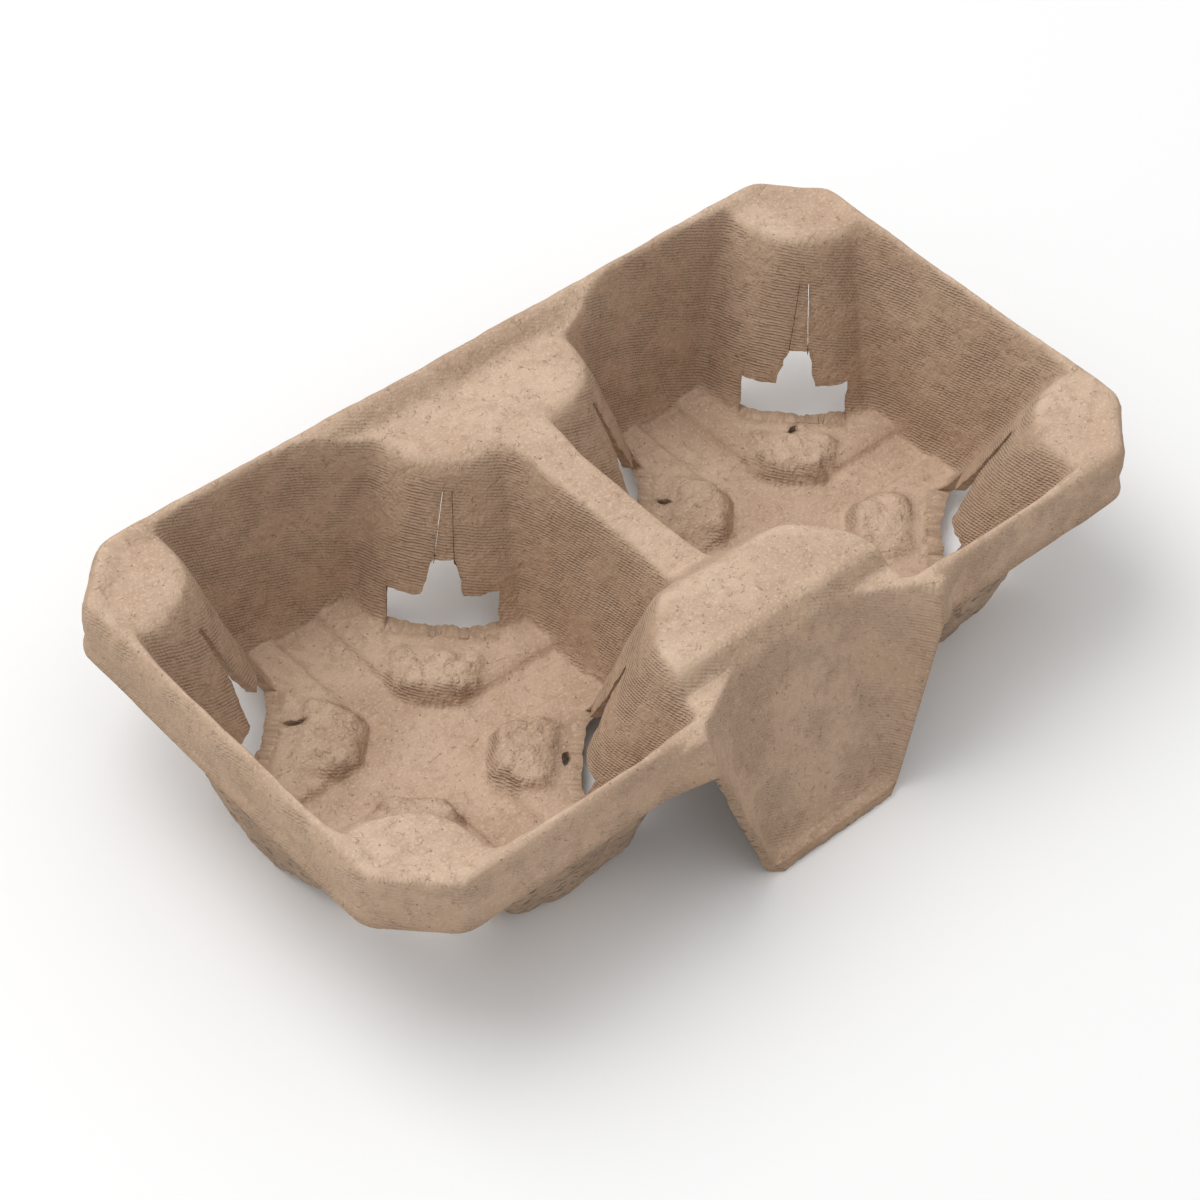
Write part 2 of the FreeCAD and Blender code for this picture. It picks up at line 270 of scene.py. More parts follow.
# %% [markdown]
# ## A net for the sheet
# The sheet starts as a flat net of small squares. Its lines stand closer where a wall is steep, so
# that the walls get as many squares as the floor.


# %% A net for the sheet
def stations(knots, bands, fine, coarse):
    places = [knots[0]]
    for low, high in zip(knots, knots[1:]):
        at = np.linspace(low, high, 2000)
        density = np.full(at.shape, 1 / coarse)
        for band_low, band_high in bands:
            near = step(at, band_low - 2, band_low) * (1 - step(at, band_high, band_high + 2))
            density = density + (1 / fine - 1 / coarse) * near
        total = np.concatenate([[0], np.cumsum((density[1:] + density[:-1]) / 2 * np.diff(at))])
        count = max(1, round(total[-1]))
        places.extend(np.interp(np.arange(1, count + 1) * total[-1] / count, total, at))
    return np.array(places)


end_bands = [(s * PITCH_HALF + t * 45.5 - 4.5, s * PITCH_HALF + t * 45.5 + 4.5) for s in (-1, 1) for t in (-1, 1)]
side_bands = [(TRAY_Y + t * 51 - 5.5, TRAY_Y + t * 51 + 5.5) for t in (-1, 1)]
xs = stations([-HALF_LENGTH, -NOTCH_HALF, NOTCH_HALF, HALF_LENGTH], end_bands, 0.55, 1.0)
front_y = TRAY_Y - HALF_WIDTH
ys = stations([front_y, TRAY_Y + HALF_WIDTH], side_bands, 0.6, 1.0)
ys = np.concatenate([[front_y - PANEL_FOOT], front_y - np.arange(int(PANEL_FOOT), 0, -1.0), ys])
print("net", len(xs), "by", len(ys))

# %% [markdown]
# ## Cutting the net to the outline
# The corners are trimmed by a fan of straight cuts, each touching the rounded corner. In front only
# the foot of the notch stays, between two slanting cuts.

# %% Cutting the net to the outline
net = bmesh.new()
bmesh.ops.create_grid(net, x_segments=len(xs) - 1, y_segments=len(ys) - 1, size=1)
for vert in net.verts:
    column = round((vert.co.x + 1) / 2 * (len(xs) - 1))
    row = round((vert.co.y + 1) / 2 * (len(ys) - 1))
    vert.co = (xs[column], ys[row], 0)


def trim(bm, faces, point, out):
    geom = set(faces)
    for face in faces:
        geom.update(face.edges)
        geom.update(face.verts)
    cut = bmesh.ops.bisect_plane(
        bm, geom=list(geom), dist=1e-4, plane_co=point, plane_no=out, clear_outer=True
    )
    return [g for g in cut["geom"] if isinstance(g, bmesh.types.BMFace)]


spare = [
    f
    for f in net.faces
    if f.calc_center_median().y < front_y and abs(f.calc_center_median().x) > NOTCH_HALF
]
bmesh.ops.delete(net, geom=spare, context="FACES")
for side_x in (-1, 1):
    foot = [f for f in net.faces if f.calc_center_median().y < front_y and f.calc_center_median().x * side_x > 0]
    trim(net, foot, (side_x * 32.2, front_y - NOTCH_REACH, 0), (side_x * 5.8, -15.7, 0))
for side_x in (-1, 1):
    for side_y in (-1, 1):
        corner = [
            f
            for f in net.faces
            if f.calc_center_median().x * side_x > TURN_HIGH[0] - 3
            and (f.calc_center_median().y - TRAY_Y) * side_y > TURN_LOW[1] - 3
        ]
        for angle in (9, 18, 27, 36, 45, 54, 63, 72, 81):
            out = Vector((math.cos(math.radians(angle)), math.sin(math.radians(angle)), 0))
            turn = TURN_LOW if angle <= 45 else TURN_HIGH
            touch = Vector((*turn, 0)) + out * ROUND
            point = (touch.x * side_x, touch.y * side_y + TRAY_Y, 0)
            corner = trim(net, corner, point, (out.x * side_x, out.y * side_y, 0))
print("trimmed net", len(net.faces), "faces")

# %% [markdown]
# ## Pressing the sheet
# Every point of the net goes to its height, and the notch draws in a little towards its foot. A few
# rounds of smoothing give the soft folds that wet fibre takes when it's sucked onto a mould.

# %% Pressing the sheet


def spots(verts):
    return np.array([v.co for v in verts], float).reshape(-1, 3)


def place(verts, points):
    for vert, point in zip(verts, points):
        vert.co = point


verts = list(net.verts)
at = spots(verts)
beyond = np.clip(front_y - at[:, 1], 0, NOTCH_REACH) / NOTCH_REACH
at[:, 0] *= 1 - 0.0333 * beyond
at[:, 2] = sheet_height(at[:, 0], at[:, 1])
place(verts, at)
rim_verts = {v for v in net.verts if v.is_boundary}
inner = [v for v in net.verts if v not in rim_verts]
for _ in range(2):
    bmesh.ops.smooth_vert(
        net, verts=inner, factor=0.5, use_axis_x=True, use_axis_y=True, use_axis_z=True
    )
print("pressed sheet", round(at[:, 2].min(), 2), "to", round(at[:, 2].max(), 2))

# %% [markdown]
# ## The skirt
# A skirt hangs from the outline and stiffens the rim. It flares slightly so that the tray leaves its
# mould, ends in a small bead, and kicks outwards where the notch interrupts it.

# %% The skirt
RINGS = 6
home = net.verts.layers.float_vector.new("home")
outline_edges = []
for e in net.edges:
    if not e.is_boundary:
        continue
    in_notch = all(v.co.y < front_y + 0.01 and abs(v.co.x) < NOTCH_HALF + 0.01 for v in e.verts)
    if not in_notch:
        outline_edges.append(e)
        for v in e.verts:
            v[home] = v.co.copy()


def notch_edge(t):
    y = front_y - NOTCH_REACH * t
    x = NOTCH_HALF * (1 - 0.0333 * t)
    return x, y, float(sheet_height(np.array([x]), np.array([y]))[0])


def skirt_point(start, t):
    _, out_x, out_y = outline(np.array([start.x]), np.array([start.y]))
    spread = FLARE * t - 0.75 * math.exp(-(((t - 0.72) / 0.2) ** 2))
    point = Vector(
        (
            start.x + float(out_x[0]) * spread,
            start.y + float(out_y[0]) * spread,
            start.z + (SKIRT_FOOT - start.z) * t,
        )
    )
    if start.y < TRAY_Y - 50 and abs(start.x) < 42:
        kick = float(step(42 - abs(start.x), 0, 42 - NOTCH_HALF))
        x, y, z = notch_edge(t)
        flared = Vector((math.copysign(x + abs(start.x) - NOTCH_HALF, start.x), y, z))
        point = point.lerp(flared, kick)
    return point


ring = outline_edges
for k in range(1, RINGS + 1):
    grown = bmesh.ops.extrude_edge_only(net, edges=ring)["geom"]
    fresh = {g for g in grown if isinstance(g, bmesh.types.BMVert)}
    ring = [g for g in grown if isinstance(g, bmesh.types.BMEdge) and set(g.verts) <= fresh]
    for v in fresh:
        v.co = skirt_point(v[home], k / RINGS)
bmesh.ops.remove_doubles(net, verts=net.verts, dist=0.05)
bmesh.ops.recalc_face_normals(net, faces=net.faces)
if sum(f.normal.z * f.calc_area() for f in net.faces) < 0:
    bmesh.ops.reverse_faces(net, faces=net.faces)
print("sheet with skirt", len(net.faces), "faces", sum(e.is_boundary for e in net.edges), "free edges")

# %% [markdown]
# ## Waves and thickness
# Drying pulls a pulp sheet slightly out of true. The whole sheet is waved gently, then given its
# thickness from the screened face inwards. The inner face is rougher, as nothing pressed on it.


# %% Waves and thickness
def wave(points, size, seed):
    shift = Vector((seed * 17.3, seed * 5.1, seed * 9.7))
    return np.array([noise.noise(Vector(p) / size + shift) for p in points])


def on_mounds(points):
    px = np.abs(np.abs(points[:, 0]) - PITCH_HALF)
    py = np.abs(points[:, 1] - TRAY_Y)
    u = (px + py) / math.sqrt(2)
    v = np.abs(px - py) / math.sqrt(2)
    return step(u, 13, 16.5) * (1 - step(u, 25, 29)) * (1 - step(v, 7.5, 11)) * (points[:, 2] < 12)


skin = list(net.verts)
at = spots(skin)
normal = np.array([v.normal for v in skin])
sway = 0.45 * wave(at, 26, 1) + 0.28 * wave(at, 9, 2) + 0.12 * wave(at, 3.2, 3)
sway = sway + on_mounds(at) * (1.3 * wave(at, 3.4, 4) + 0.7 * wave(at, 1.9, 5))
place(skin, at + normal * sway[:, None])
net.normal_update()
torn = net.verts.layers.float.new("torn")
under = net.verts.layers.float.new("under")
for v in net.verts:
    v[torn] = 1.0 if v.is_boundary else 0.0
    v[home] = v.co.copy()
bmesh.ops.solidify(net, geom=list(net.faces), thickness=WALL)
for v in net.verts:
    v[under] = float((v.co - v[home]).length > 0.5)
print("solid sheet", len(net.faces), "faces, closed", all(e.is_manifold for e in net.edges))

# %% [markdown]
# ## The hidden side
# The side that faced away from the screen stays rough and pitted. It's roughened here, and the sheet
# is kept inside its nominal size, so that it stands flat on a table.

# %% The hidden side
hidden = [v for v in net.verts if v[under] > 0.5]
at = spots(hidden)
normal = np.array([v.normal for v in hidden])
rough = 0.3 * wave(at, 3.1, 6) + 0.25 * wave(at, 1.4, 7)
place(hidden, at + normal * rough[:, None])
low = np.array(cad_low) / MM + 0.02
high = np.array(cad_high) / MM - 0.02
place(net.verts, np.clip(spots(net.verts), low, high))
print("hidden side", len(hidden), "points")


# %% [markdown]
# ## From drawing to object
# Two small helpers: one turns a drawn mesh into an object, the other cuts one object with another and
# keeps the result as a plain mesh.


# %% From drawing to object
def made(bm, name):
    mesh = bpy.data.meshes.new(name)
    bm.to_mesh(mesh)
    bm.free()
    piece = bpy.data.objects.new(name, mesh)
    bpy.context.scene.collection.objects.link(piece)
    return piece


def cut_by(piece, tool, operation):
    cut = piece.modifiers.new("cut", "BOOLEAN")
    cut.operation = operation
    cut.solver = "MANIFOLD"
    cut.object = tool
    graph = bpy.context.evaluated_depsgraph_get()
    mesh = bpy.data.meshes.new_from_object(piece.evaluated_get(graph))
    piece.modifiers.clear()
    piece.data = mesh
    bpy.data.objects.remove(tool)
    return piece


sheet = made(net, "pulp_tray")

# %% [markdown]
# ## The T cuts
# A steel rule die punches a T through each pilaster: a bar at the foot of the wall, a tapering stem
# and a slit up to near the crest. Wet fibre tears rather than cuts cleanly, so the outline wanders.
# In the corners that the die struck squarely the slit is two hairlines with a strip between them.


# %% The T cuts
def corner_places():
    for pocket, pocket_x in (("left", -PITCH_HALF), ("right", PITCH_HALF)):
        outer = -1 if pocket == "left" else 1
        for depth, side_y in (("back", 1), ("front", -1)):
            for where, side_x in (("outer", outer), ("inner", -outer)):
                turn = math.atan2(side_y, side_x)
                stand = Matrix.Translation((pocket_x, TRAY_Y, 0)) @ Matrix.Rotation(turn, 4, "Z")
                yield f"{pocket}_{depth}_{where}", stand


def wall_at(z, foot, top):
    return (foot + (top - foot) * (z - WALL) / (CREST - WALL)) / math.sqrt(2)


def ragged(points, amount, seed):
    wander = []
    for a, b in zip(points, points[1:] + points[:1]):
        count = max(1, round(math.dist(a, b) / 0.9))
        for k in range(count):
            v = a[0] + (b[0] - a[0]) * k / count
            z = a[1] + (b[1] - a[1]) * k / count
            calm = amount * (1 - 0.8 * float(step(z, 28, 36)))
            tear = noise.noise_vector(Vector((v / 1.7, z / 1.7, seed * 7.7)))
            wander.append((v + calm * tear.x, z + calm * tear.y))
    return wander


def prism(bm, corner, points, start, reach):
    stand = corners[corner]
    draft = NEAR_BRIDGE if corner.endswith("front_inner") else ELSEWHERE
    base = [bm.verts.new(stand @ Vector((wall_at(z, *draft) + start, v, z))) for v, z in points]
    face = bm.faces.new(base)
    grown = bmesh.ops.extrude_face_region(bm, geom=[face], use_keep_orig=True)["geom"]
    fresh = [g for g in grown if isinstance(g, bmesh.types.BMVert)]
    push = stand.to_3x3() @ Vector((reach, 0, 0))
    bmesh.ops.translate(bm, verts=fresh, vec=push)


def slit_side(z):
    return 2.15 - 1.2 * (z - 19.5) / 15.5


die = bmesh.new()
corners = dict(corner_places())
CLOSED = ("left_back_inner", "right_back_outer")
BAR = [(12.5, 4.4), (12.5, 12), (4.75, 12)]
for seed, corner in enumerate(corners):
    if corner in CLOSED:
        half = BAR + [(2.4, 20)]
        for hand in (1, -1):
            line = [(hand * slit_side(z), z) for z in (19.3, 27, 35)]
            back = [(v + hand * 0.14, z) for v, z in reversed(line)]
            prism(die, corner, ragged(line + back, 0.1, seed), -4, 13)
    else:
        top = 34 if corner.endswith("front_inner") else 36
        half = BAR + [(2.4, 19), (1.1, 22), (0.6, top)]
    points = half + [(-v, z) for v, z in reversed(half)]
    prism(die, corner, ragged(points, 0.6, seed), -1.6, 11)
bmesh.ops.recalc_face_normals(die, faces=die.faces)
print("die", len(die.faces), "faces, closed", all(e.is_manifold for e in die.edges))

# %% [markdown]
# ## Small tears in the floor
# The mounds stretch the sheet, and here and there it has torn through in a small slot.

# %% Small tears in the floor
tears = (
    (-PITCH_HALF - 17.6, 22.8, 2.6, 135),
    (-PITCH_HALF + 20.7, -21.6, 1.9, 40),
    (PITCH_HALF - 19.0, 22.0, 1.8, 120),
    (PITCH_HALF + 20.5, 20.5, 2.2, 30),
)
for seed, (x, along, size, angle) in enumerate(tears):
    stand = Matrix.Translation((x, TRAY_Y + along, 4))
    stand = stand @ Matrix.Rotation(math.radians(angle), 4, "Z") @ Matrix.Diagonal((size, 0.8, 7, 1))
    blob = bmesh.ops.create_icosphere(die, subdivisions=3, radius=1, matrix=stand)["verts"]
    for v in blob:
        v.co.xy += noise.noise_vector(v.co / 1.6 + Vector((seed, 3, 5))).xy * 0.5
die_tree = BVHTree.FromBMesh(die)
sheet = cut_by(sheet, made(die, "die"), "DIFFERENCE")
print("cut sheet", len(sheet.data.polygons), "faces")

# %% [markdown]
# ## The tongues
# Each T frees two triangular tongues. They hang on a crease from the end of the bar to the top of the
# slit, and bend outwards when a cup is pushed in. Each is its own piece, cut from the same sheet.


# %% The tongues
def crease(z):
    return 9.5 + (1.05 - 9.5) * (z - 12) / (35.4 - 12)


tool = bmesh.new()
for corner in corners:
    top = 33 if corner.endswith("front_inner") else 35
    for hand in (1, -1):
        points = [(0.12, 10), (crease(10), 10), (crease(top), top), (0.12, top)]
        if corner in CLOSED:
            edge = slit_side(19.4) + 0.07
            points = points[:3] + [(slit_side(top) + 0.07, top), (edge, 19.4), (0.12, 19.3)]
        prism(tool, corner, [(hand * v, z) for v, z in points], -5, 16)
bmesh.ops.recalc_face_normals(tool, faces=tool.faces)
second = tool.copy()
tongues = bpy.data.objects.new("tongues", sheet.data.copy())
bpy.context.scene.collection.objects.link(tongues)
tongues = cut_by(tongues, made(tool, "tongue_tool"), "INTERSECT")
tray = cut_by(sheet, made(second, "tongue_tool"), "DIFFERENCE")
print("tongues", len(tongues.data.polygons), "faces, tray", len(tray.data.polygons), "faces")

# %% [markdown]
# ## Sorting the tongues
# The cut leaves sixteen loose islands. Each is named after the corner and the hand that it belongs to,
# by the place of its middle; anything smaller than a crumb falls away.


# %% Sorting the tongues
def islands(bm):
    left = set(bm.verts)
    while left:
        island = {left.pop()}
        edge = set(island)
        while edge:
            edge = {e.other_vert(v) for v in edge for e in v.link_edges} & left
            left -= edge
            island |= edge
        yield island


def part_of(bm, keep, name):
    part = bm.copy()
    wanted = {v.index for v in keep}
    bmesh.ops.delete(part, geom=[v for v in part.verts if v.index not in wanted], context="VERTS")
    return made(part, name)


loose = bmesh.new()
loose.from_mesh(tongues.data)
bpy.data.objects.remove(tongues)
loose.verts.index_update()
flaps = {}
for island in islands(loose):
    middle = sum((v.co for v in island), Vector()) / len(island)
    corner = min(corners, key=lambda c: (corners[c] @ Vector((40, 0, 18)) - middle).length)
    hand = "a" if (corners[corner].inverted() @ middle).y > 0 else "b"
    if len(island) > 30:
        flap_name = f"{corner}_flap_{hand}"
        flaps[flap_name] = part_of(loose, island, flap_name + "_pulp")
loose.free()
print("flaps", len(flaps), sorted(len(f.data.vertices) for f in flaps.values()))

# %% [markdown]
# ## Loose crumbs
# The tray keeps only its largest island, so that no crumb of the cut floats beside it.

# %% Loose crumbs
whole = bmesh.new()
whole.from_mesh(tray.data)
whole.verts.index_update()
main = max(islands(whole), key=len)
crumbs = [v for v in whole.verts if v not in main]
bmesh.ops.delete(whole, geom=crumbs, context="VERTS")
bmesh.ops.remove_doubles(whole, verts=whole.verts, dist=0.004)
whole.to_mesh(tray.data)
whole.free()
print("crumbs", len(crumbs), "points; tray", len(tray.data.vertices), "points")

# %% [markdown]
# ## Where each finish shows
# Four marks are written on the points of the sheet for the finish: the hidden side, the torn edges,
# the walls that carry the print of the wire screen and a painted shade, and the crumpled tops of the mounds.


# %% Where each finish shows
def mark(piece, name, values):
    held = piece.data.attributes.get(name) or piece.data.attributes.new(name, "FLOAT", "POINT")
    held.data.foreach_set("value", np.asarray(values, np.float32))


def finish_marks(piece):
    mesh = piece.data
    points = np.array([v.co for v in mesh.vertices])
    normals = np.array([v.normal for v in mesh.vertices])
    held = np.zeros(len(points), np.float32)
    mesh.attributes["torn"].data.foreach_get("value", held)
    near = np.array([die_tree.find_nearest(Vector(p), 1.5)[3] or 9 for p in points])
    near = np.where(near > 1.5, 9, near)
    mark(piece, "torn", np.clip(np.maximum(held, 1 - step(near, 0.1, 1.0)), 0, 1))
    # The screen mark covers the steep walls. Besides the print of the screen, it carries a painted shade that
    # darkens them.
    mark(piece, "screen", step(1 - np.abs(normals[:, 2]), 0.12, 0.4))
    mark(piece, "crumple", on_mounds(points))
    for spare_name in ("home",):
        mesh.attributes.remove(mesh.attributes[spare_name])


for piece in [tray, *flaps.values()]:
    finish_marks(piece)
    piece.data.shade_smooth()
    piece.data.set_sharp_from_angle(angle=math.radians(48))
    piece.data.transform(Matrix.Scale(MM, 4))
    piece.data.update()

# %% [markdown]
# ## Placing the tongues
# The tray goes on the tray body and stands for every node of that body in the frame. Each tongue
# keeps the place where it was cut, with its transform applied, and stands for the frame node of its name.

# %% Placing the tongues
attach(tray, "tray")
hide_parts(*[n for n, o in frame["nodes"].items() if o["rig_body"] == "tray"])
for body, flap in flaps.items():
    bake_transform(flap)
    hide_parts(body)
print("hung", len(flaps), "tongues")


# %% [markdown]
# ## Tools for the finish
# A shader tree is a set of boxes joined by wires. These helpers add a box, set its plain values and
# join its inputs, so that each finish below reads as a short list.


# %% Tools for the finish
def box(tree, kind, joined=None, **values):
    node = tree.nodes.new("ShaderNode" + kind)
    for name, value in values.items():
        if hasattr(node, name):
            setattr(node, name, value)
        else:
            node.inputs[name.replace("_", " ").strip()].default_value = value
    for name, source in (joined or {}).items():
        tree.links.new(source, node.inputs[name])
    return node


def part_group(name, outputs):
    tree = bpy.data.node_groups.new(name, "ShaderNodeTree")
    for output in outputs:
        tree.interface.new_socket(name=output, in_out="OUTPUT", socket_type="NodeSocketFloat")
    return tree, tree.nodes.new("NodeGroupOutput")


def millimetres(tree):
    place_box = tree.nodes.new("ShaderNodeTexCoord")
    scale = tree.nodes.new("ShaderNodeVectorMath")
    scale.operation = "SCALE"
    scale.inputs["Scale"].default_value = 1000
    tree.links.new(place_box.outputs["Object"], scale.inputs[0])
    return scale.outputs[0]


def sums(tree, operation, a, b=None, clamp=False):
    node = tree.nodes.new("ShaderNodeMath")
    node.operation = operation
    node.use_clamp = clamp
    for slot, value in zip(node.inputs, (a, b)):
        if isinstance(value, (int, float)):
            slot.default_value = value
        elif value is not None:
            tree.links.new(value, slot)
    return node.outputs[0]


def ramp(tree, value, low, high):
    node = tree.nodes.new("ShaderNodeMapRange")
    node.interpolation_type = "SMOOTHSTEP"
    tree.links.new(value, node.inputs["Value"])
    node.inputs["From Min"].default_value = low
    node.inputs["From Max"].default_value = high
    return node.outputs["Result"]


# %% [markdown]
# ## Felted fibre
# Dried pulp is a felt of short fibres. It shows as a fine grain, softer lumps, thin curved fibres that
# lie on the surface, and a few dark specks of bark or ink.

# %% Felted fibre
felt, felt_out = part_group("felted fibre", ("Grain", "Lumps", "Fibres", "Specks", "Clouds", "Pits", "Folds"))
mm = millimetres(felt)
bend = box(felt, "TexNoise", {"Vector": mm}, Scale=0.55, Detail=2.0)
lean = felt.nodes.new("ShaderNodeVectorMath")
lean.operation = "MULTIPLY_ADD"
lean.inputs[1].default_value = (2.6, 2.6, 2.6)
felt.links.new(bend.outputs["Color"], lean.inputs[0])
felt.links.new(mm, lean.inputs[2])
grain = box(felt, "TexNoise", {"Vector": mm}, Scale=1.5, Detail=5.0, Roughness=0.62)
lumps = box(felt, "TexNoise", {"Vector": mm}, Scale=0.32, Detail=3.0, Roughness=0.55)
clouds = box(felt, "TexNoise", {"Vector": mm}, Scale=0.045, Detail=3.0, Roughness=0.55)
mesh_lines = box(felt, "TexVoronoi", {"Vector": lean.outputs[0]}, feature="DISTANCE_TO_EDGE", Scale=0.42)
patchy = box(felt, "TexNoise", {"Vector": mm}, Scale=0.5, Detail=1.0)
thin = sums(felt, "SUBTRACT", 1.0, ramp(felt, mesh_lines.outputs["Distance"], 0.008, 0.03))
fibres = sums(felt, "MULTIPLY", thin, ramp(felt, patchy.outputs[0], 0.56, 0.63))
dots = box(felt, "TexVoronoi", {"Vector": mm}, feature="F1", Scale=0.6)
small = sums(felt, "SUBTRACT", 1.0, ramp(felt, dots.outputs["Distance"], 0.1, 0.2))
rare = box(felt, "SeparateColor", {"Color": dots.outputs["Color"]})
specks = sums(felt, "MULTIPLY", small, ramp(felt, rare.outputs[0], 0.8, 0.86))
squashed = felt.nodes.new("ShaderNodeVectorMath")
squashed.operation = "MULTIPLY"
squashed.inputs[1].default_value = (0.5, 0.5, 1.6)
felt.links.new(mm, squashed.inputs[0])
cracked = box(felt, "TexNoise", {"Vector": squashed.outputs[0]}, Scale=0.8, Detail=4.0, Distortion=0.5)
pits = ramp(felt, cracked.outputs[0], 0.57, 0.7)
folded = box(felt, "TexNoise", {"Vector": lean.outputs[0]}, Scale=0.3, Detail=2.5, Roughness=0.6)
for name, value in (
    ("Folds", folded.outputs[0]),
    ("Pits", pits),
    ("Grain", grain.outputs[0]),
    ("Lumps", lumps.outputs[0]),
    ("Fibres", fibres),
    ("Specks", specks),
    ("Clouds", clouds.outputs[0]),
):
    felt.links.new(value, felt_out.inputs[name])

# %% [markdown]
# ## The print of the screen
# The mould is faced with fine wire cloth, and the walls keep its print: two sets of close ridges that
# cross, a little under a millimetre apart, blurred where the fibre bridged them.

# %% The print of the screen
screen, screen_out = part_group("screen print", ("Weave",))
mm = millimetres(screen)
blur = box(screen, "TexNoise", {"Vector": mm}, Scale=0.25, Detail=2.0)
shift = screen.nodes.new("ShaderNodeVectorMath")
shift.operation = "MULTIPLY_ADD"
shift.inputs[1].default_value = (0.7, 0.7, 0.7)
screen.links.new(blur.outputs["Color"], shift.inputs[0])
screen.links.new(mm, shift.inputs[2])
split = box(screen, "SeparateXYZ", {"Vector": shift.outputs[0]})
TURNS = 2 * math.pi / 0.78
across = sums(screen, "ADD", split.outputs[0], sums(screen, "MULTIPLY", split.outputs[1], 0.62))
slant = sums(screen, "ADD", split.outputs[2], sums(screen, "MULTIPLY", across, 0.42))
ridge = sums(screen, "SINE", sums(screen, "MULTIPLY", slant, TURNS))
cross = sums(screen, "SINE", sums(screen, "MULTIPLY", across, TURNS))
cross = sums(screen, "ADD", sums(screen, "MULTIPLY", cross, 0.45), 0.75)
weave = sums(screen, "MULTIPLY", sums(screen, "ADD", sums(screen, "MULTIPLY", ridge, 0.5), 0.5), cross)
worn = box(screen, "TexNoise", {"Vector": mm}, Scale=0.09, Detail=3.0, Roughness=0.6)
clear = ramp(screen, worn.outputs[0], 0.38, 0.6)
weave = sums(screen, "ADD", sums(screen, "MULTIPLY", sums(screen, "SUBTRACT", weave, 0.8), clear), 0.8)
screen.links.new(weave, screen_out.inputs["Weave"])

# %% [markdown]
# ## The pulp
# One material covers the sheet. Its colour runs from a pale tan on the felted face to a darker brown
# on torn edges and on the hidden side, and its relief comes from the fibres and the screen. Steep
# walls are painted a darker, warmer brown, partly the pulp's own tone and partly painted shade, and
# the grooves of the screen print and the pits of the hidden side are painted dark as shade.

# %% The pulp
pulp = bpy.data.materials.new("moulded pulp")
pulp.use_nodes = True
tree = pulp.node_tree
tree.nodes.clear()
shader = tree.nodes.new("ShaderNodeBsdfPrincipled")
shader.inputs["Roughness"].default_value = 0.92
shader.inputs["Specular IOR Level"].default_value = 0.18
end = tree.nodes.new("ShaderNodeOutputMaterial")
tree.links.new(shader.outputs[0], end.inputs[0])
fibre = tree.nodes.new("ShaderNodeGroup")
fibre.node_tree = felt
print_of = tree.nodes.new("ShaderNodeGroup")
print_of.node_tree = screen
marks = {
    n: box(tree, "Attribute", attribute_name=n).outputs["Fac"]
    for n in ("torn", "under", "screen", "crumple")
}


def tinted(base, factor, colour):
    mix = tree.nodes.new("ShaderNodeMix")
    mix.data_type = "RGBA"
    tree.links.new(factor, mix.inputs[0])
    if isinstance(base, tuple):
        mix.inputs[6].default_value = base
    else:
        tree.links.new(base, mix.inputs[6])
    mix.inputs[7].default_value = colour
    return mix.outputs[2]


colour = tinted((0.53, 0.368, 0.26, 1), ramp(tree, fibre.outputs["Clouds"], 0.35, 0.65), (0.64, 0.465, 0.34, 1))
colour = tinted(colour, sums(tree, "MULTIPLY", ramp(tree, fibre.outputs["Lumps"], 0.45, 0.7), 0.5), (0.44, 0.30, 0.20, 1))
colour = tinted(colour, sums(tree, "MULTIPLY", ramp(tree, fibre.outputs["Grain"], 0.48, 0.68), 0.5), (0.78, 0.62, 0.48, 1))
# Steep walls are painted a darker, warmer brown: partly the pulp's own tone, partly painted shade of walls turned
# from the light.
colour = tinted(colour, sums(tree, "MULTIPLY", marks["screen"], 0.45), (0.42, 0.285, 0.19, 1))
colour = tinted(colour, sums(tree, "MULTIPLY", marks["under"], 0.5), (0.34, 0.25, 0.18, 1))
colour = tinted(colour, sums(tree, "MULTIPLY", marks["torn"], 0.55), (0.36, 0.24, 0.155, 1))
colour = tinted(colour, sums(tree, "MULTIPLY", fibre.outputs["Fibres"], 0.65), (0.27, 0.175, 0.115, 1))
colour = tinted(colour, sums(tree, "MULTIPLY", fibre.outputs["Specks"], 0.6), (0.16, 0.10, 0.065, 1))
# The pits of the hidden side are dented by the bump and painted near black: painted shade in the dents.
pitted = sums(tree, "MULTIPLY", fibre.outputs["Pits"], marks["under"])
colour = tinted(colour, sums(tree, "MULTIPLY", pitted, 0.7), (0.13, 0.082, 0.052, 1))
# The grooves of the screen print are painted darker: painted shade in the hollows of the weave.
hollow = sums(tree, "MULTIPLY", sums(tree, "SUBTRACT", 1.0, print_of.outputs["Weave"]), marks["screen"])
colour = tinted(colour, sums(tree, "MULTIPLY", hollow, 0.3), (0.26, 0.175, 0.12, 1))
tree.links.new(colour, shader.inputs["Base Color"])
relief = sums(tree, "MULTIPLY", fibre.outputs["Grain"], 0.5)
relief = sums(tree, "ADD", relief, sums(tree, "MULTIPLY", fibre.outputs["Lumps"], 0.9))
relief = sums(tree, "ADD", relief, sums(tree, "MULTIPLY", fibre.outputs["Fibres"], 0.12))
woven = sums(tree, "MULTIPLY", print_of.outputs["Weave"], sums(tree, "MULTIPLY", marks["screen"], 0.5))
relief = sums(tree, "ADD", relief, woven)
relief = sums(tree, "SUBTRACT", relief, sums(tree, "MULTIPLY", pitted, 1.2))
crumpled = sums(tree, "MULTIPLY", fibre.outputs["Folds"], sums(tree, "MULTIPLY", marks["crumple"], 2.6))
relief = sums(tree, "ADD", relief, crumpled)
dented = sums(tree, "MULTIPLY", fibre.outputs["Folds"], sums(tree, "MULTIPLY", marks["screen"], 1.5))
relief = sums(tree, "ADD", relief, dented)
bump = tree.nodes.new("ShaderNodeBump")
bump.inputs["Strength"].default_value = 0.8
bump.inputs["Distance"].default_value = 0.0007
tree.links.new(relief, bump.inputs["Height"])
tree.links.new(bump.outputs[0], shader.inputs["Normal"])
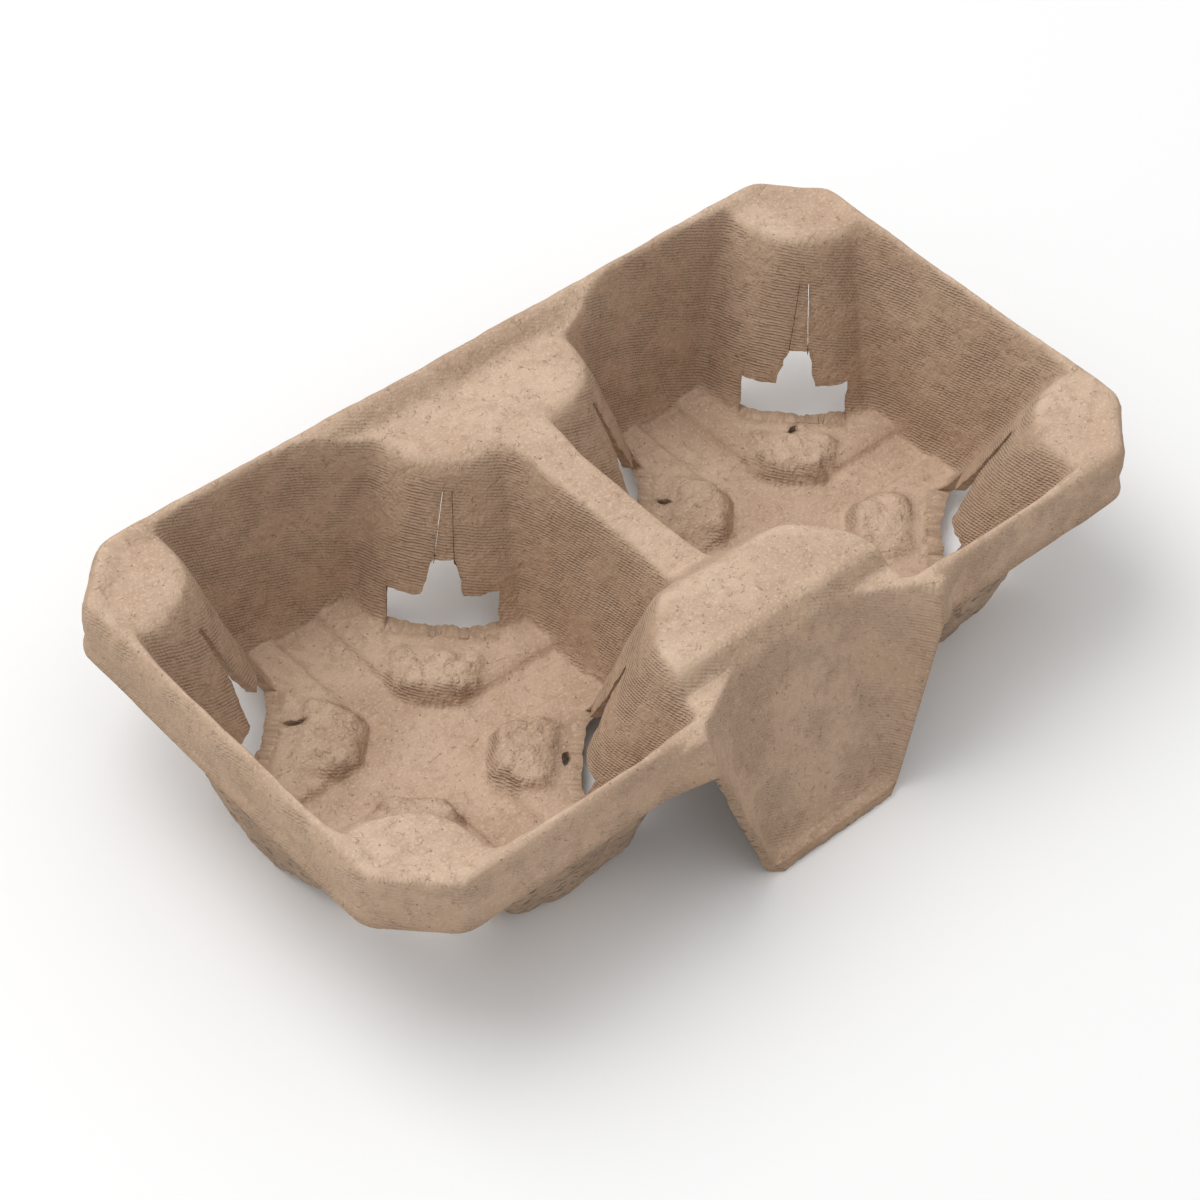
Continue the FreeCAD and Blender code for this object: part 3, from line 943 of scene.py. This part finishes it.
for piece in [tray, *flaps.values()]:
    piece.data.materials.clear()
    piece.data.materials.append(pulp)

# %% [markdown]
# ## The table and the light
# The tray stands on a plain white sweep. A broad light from above and behind its left end gives soft
# shadows, and a white sky fills them.

# %% The table and the light
table = bmesh.new()
bmesh.ops.create_grid(table, x_segments=1, y_segments=1, size=6)
floor = made(table, "floor")
paper = bpy.data.materials.new("white paper")
paper.use_nodes = True
paper.node_tree.nodes["Principled BSDF"].inputs["Base Color"].default_value = (0.93, 0.93, 0.93, 1)
paper.node_tree.nodes["Principled BSDF"].inputs["Roughness"].default_value = 0.9
floor.data.materials.append(paper)
floor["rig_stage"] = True
world = bpy.data.worlds.new("sky")
bpy.context.scene.world = world
world.use_nodes = True
world.node_tree.nodes["Background"].inputs["Color"].default_value = (1, 1, 1, 1)
world.node_tree.nodes["Background"].inputs["Strength"].default_value = 0.7


def lamp(name, stand, aim, size, power):
    light = bpy.data.lights.new(name, "AREA")
    light.size = size
    light.energy = power
    shade = bpy.data.objects.new(name, light)
    bpy.context.scene.collection.objects.link(shade)
    shade.location = stand
    shade.rotation_euler = (Vector(aim) - Vector(stand)).to_track_quat("-Z", "Y").to_euler()


lamp("key_light", (-0.35, 0.75, 1.35), (0, 0, 0), 1.3, 14)
bpy.context.scene.view_settings.view_transform = "Standard"

# %% [markdown]
# ## The camera
# The camera looks down on the near left corner with a long lens.

# %% The camera
lens = bpy.data.cameras.new("camera")
lens.lens = 92.7
lens.sensor_width = 36
lens.clip_end = 20
camera = bpy.data.objects.new("camera", lens)
bpy.context.scene.collection.objects.link(camera)
right = Vector((0.74716, -0.66336, 0.04133))
up = Vector((0.46308, 0.56417, 0.68357))
back = Vector((-0.47677, -0.49160, 0.72871))
turn = Matrix((right, up, back)).transposed().to_4x4()
camera.matrix_world = Matrix.Translation((-0.32627, -0.32570, 0.50754)) @ turn
bpy.context.scene.camera = camera

# %% [markdown]
# ## The size it came to
# The size of the finished tray is measured, as the frame's was at the start.

# %% The size it came to
low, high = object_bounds()
